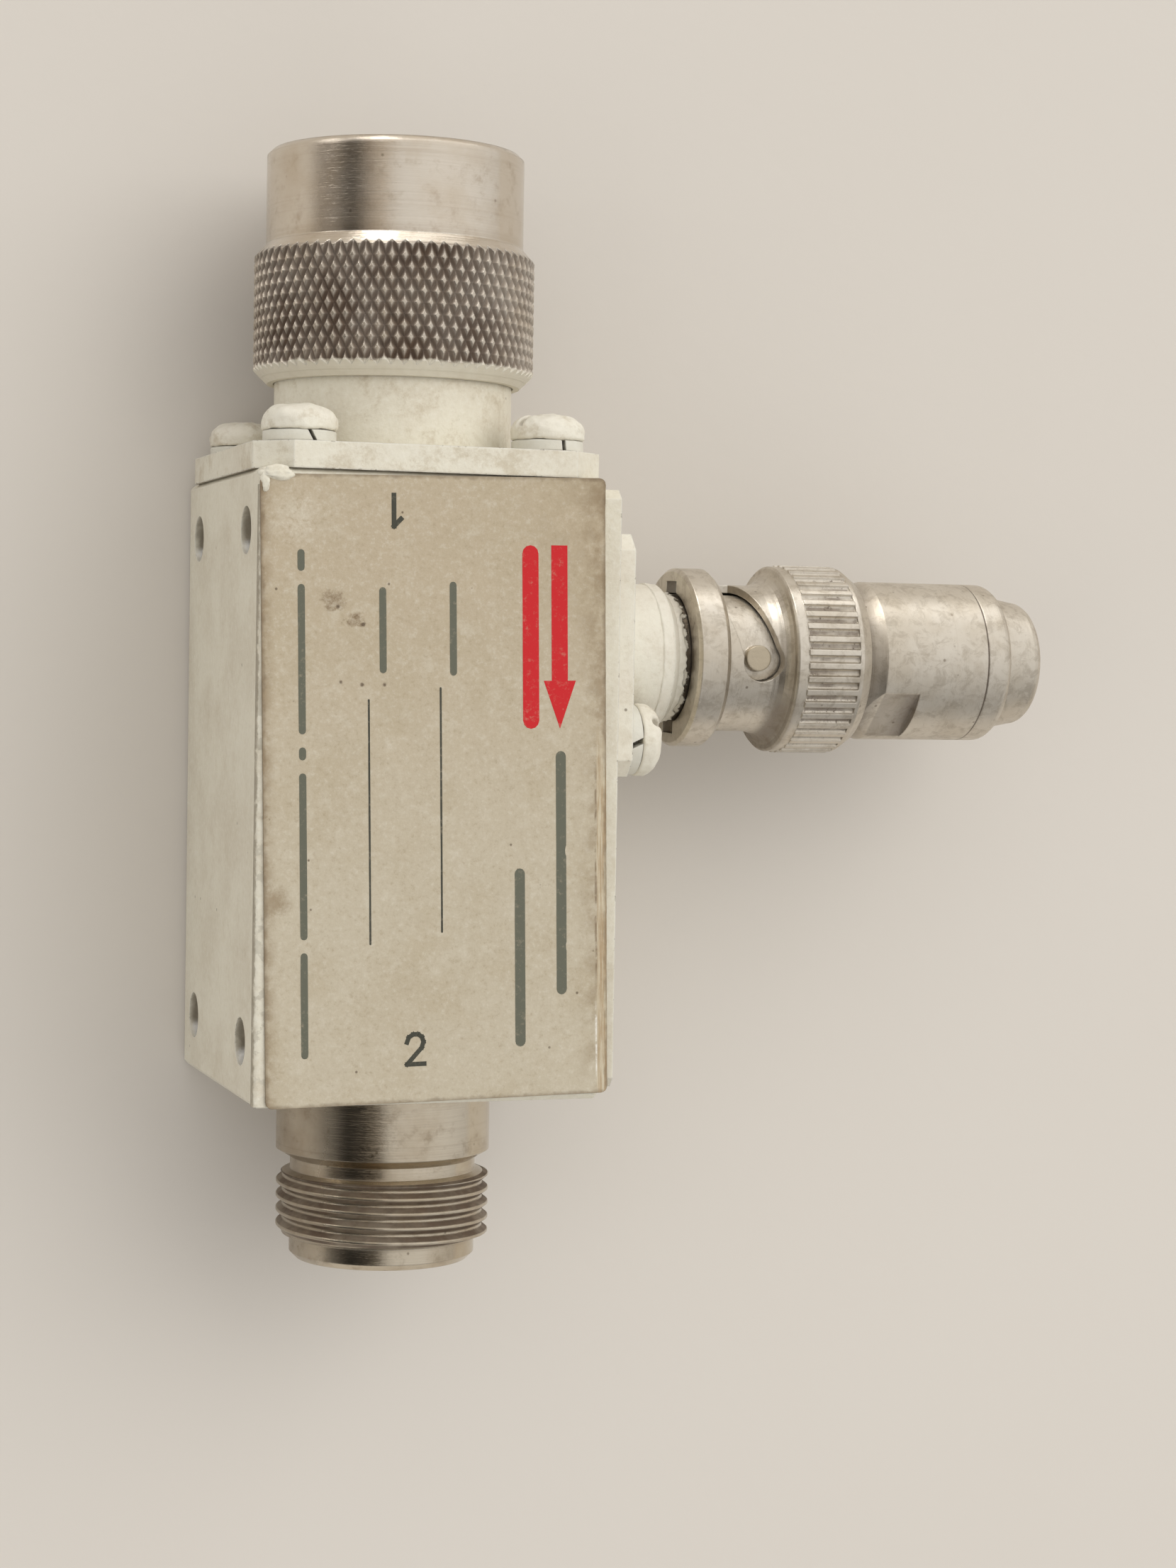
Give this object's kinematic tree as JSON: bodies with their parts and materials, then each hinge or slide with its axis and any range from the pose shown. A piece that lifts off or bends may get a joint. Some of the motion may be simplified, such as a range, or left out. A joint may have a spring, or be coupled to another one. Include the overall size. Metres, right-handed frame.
{
  "type": "coaxial directional coupler",
  "caption": "In-line coaxial directional coupler: a painted square block with a threaded plug and jack on its ends and a bayonet sampling port closed by a termination.",
  "frame": {"origin": "middle of the block's back face", "axes": "+X towards the sampling port, +Y along the line towards the plug, +Z out of the label"},
  "size_m": [0.0643, 0.0815, 0.0257],
  "materials": {
    "cream_paint": "satin cream paint, brushed on, with chips and grime along the edges",
    "label_foil": "matt tan anodised foil, mottled and dirty",
    "nickel_plate": "dull nickel plate with fine turning marks",
    "gold_contact": "gold-plated contact metal",
    "spring_steel": "plain spring steel",
    "white_insulator": "waxy white insulator",
    "gasket_rubber": "dark red gasket rubber",
    "resistor_body": "matt brown resistor coating"
  },
  "bodies": {
    "coupler": {"body_block": "cream_paint", "side_cover": "cream_paint", "cover_screws": "cream_paint", "label_plate": "label_foil", "n_plug_body": "cream_paint", "n_plug_insulator": "white_insulator", "n_plug_pin": "gold_contact", "n_plug_gasket": "gasket_rubber", "nut_retaining_ring": "spring_steel", "flange_screws": "cream_paint", "flange_lock_washers": "cream_paint", "n_jack_body": "nickel_plate", "n_jack_insulator": "white_insulator", "n_jack_socket": "gold_contact", "line_conductor": "gold_contact", "pickup_loop": "gold_contact", "loop_load": "resistor_body", "port_jack_body": "cream_paint", "port_insulator": "white_insulator", "port_socket": "gold_contact", "port_screws": "cream_paint", "port_lock_washers": "cream_paint"},
    "nut": {"n_coupling_nut": "nickel_plate"},
    "termination": {"plug_shell": "nickel_plate", "plug_gasket": "gasket_rubber", "plug_insulator": "white_insulator", "plug_pin": "gold_contact", "spring_washer": "spring_steel", "sleeve_retaining_ring": "spring_steel", "termination_housing": "nickel_plate", "termination_resistor": "resistor_body", "termination_end_cap": "nickel_plate"},
    "sleeve": {"bayonet_sleeve": "nickel_plate"}
  },
  "joints": [
    {"name": "nut_spin", "type": "hinge", "parent": "coupler", "child": "nut", "pos_m": [0, 0.038, 0.0127], "axis": [0, 1, 0], "continuous": true},
    {"name": "termination_slide", "type": "slide", "parent": "coupler", "child": "termination", "axis": [1, 0, 0], "range_m": [0, 0.0025]},
    {"name": "sleeve_turn", "type": "hinge", "parent": "termination", "child": "sleeve", "pos_m": [0.03, 0.0097, 0.0127], "axis": [1, 0, 0], "range_deg": [0, 88]}
  ],
  "couplings": [
    {"joint": "termination_slide", "follows": "sleeve_turn", "m_per_rad": 0.0016277}
  ]
}
